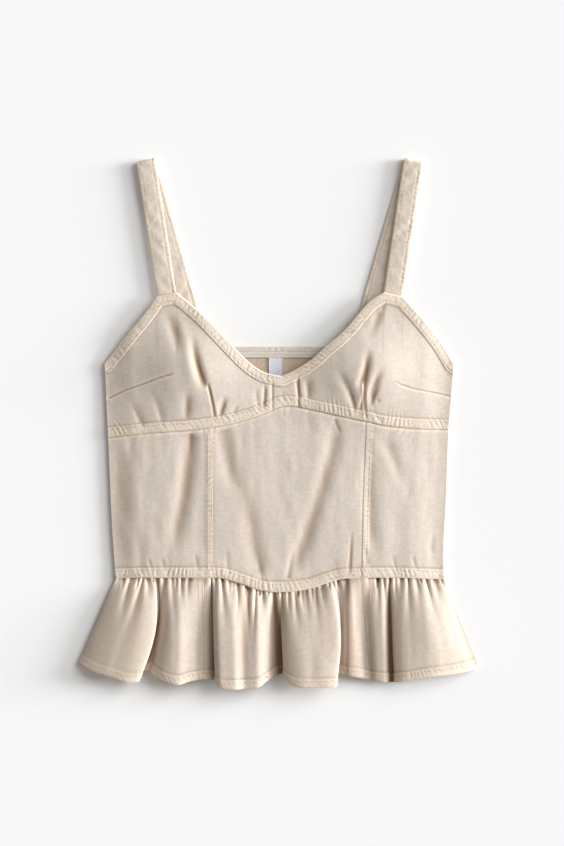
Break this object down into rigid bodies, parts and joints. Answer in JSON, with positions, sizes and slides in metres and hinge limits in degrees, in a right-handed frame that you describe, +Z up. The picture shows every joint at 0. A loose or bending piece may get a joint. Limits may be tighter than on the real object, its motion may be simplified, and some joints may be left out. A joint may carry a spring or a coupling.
{
  "type": "peplum top",
  "caption": "Sleeveless twill top with darted cups, wide straps, a panelled bodice and a gathered ruffle at the waist, laid flat with its front up.",
  "frame": {"origin": "on the flat underside, below the middle of the front", "axes": "+Z up from the surface it lies on, +Y towards the straps, +X to the viewer's right"},
  "size_m": [0.4547, 0.6029, 0.025],
  "materials": {
    "front_twill": "washed cotton twill, pale beige",
    "ruffle_twill": "washed cotton twill, pale beige, gathered",
    "back_twill": "cotton twill, inner side of the back",
    "band_twill": "cotton twill, turned band",
    "strap_twill": "cotton twill, two layers, stitched",
    "label_satin": "plain woven label"
  },
  "bodies": {
    "root": {"cup_left": "front_twill", "cup_right": "front_twill", "bridge_front": "front_twill", "center_front": "front_twill", "side_front_left": "front_twill", "side_front_right": "front_twill", "peplum_side_left": "ruffle_twill", "peplum_center_front": "ruffle_twill", "peplum_side_right": "ruffle_twill", "peplum_back": "back_twill", "back_bodice": "back_twill", "back_neck_band": "band_twill", "strap_left": "strap_twill", "strap_right": "strap_twill", "label": "label_satin"}
  },
  "joints": []
}
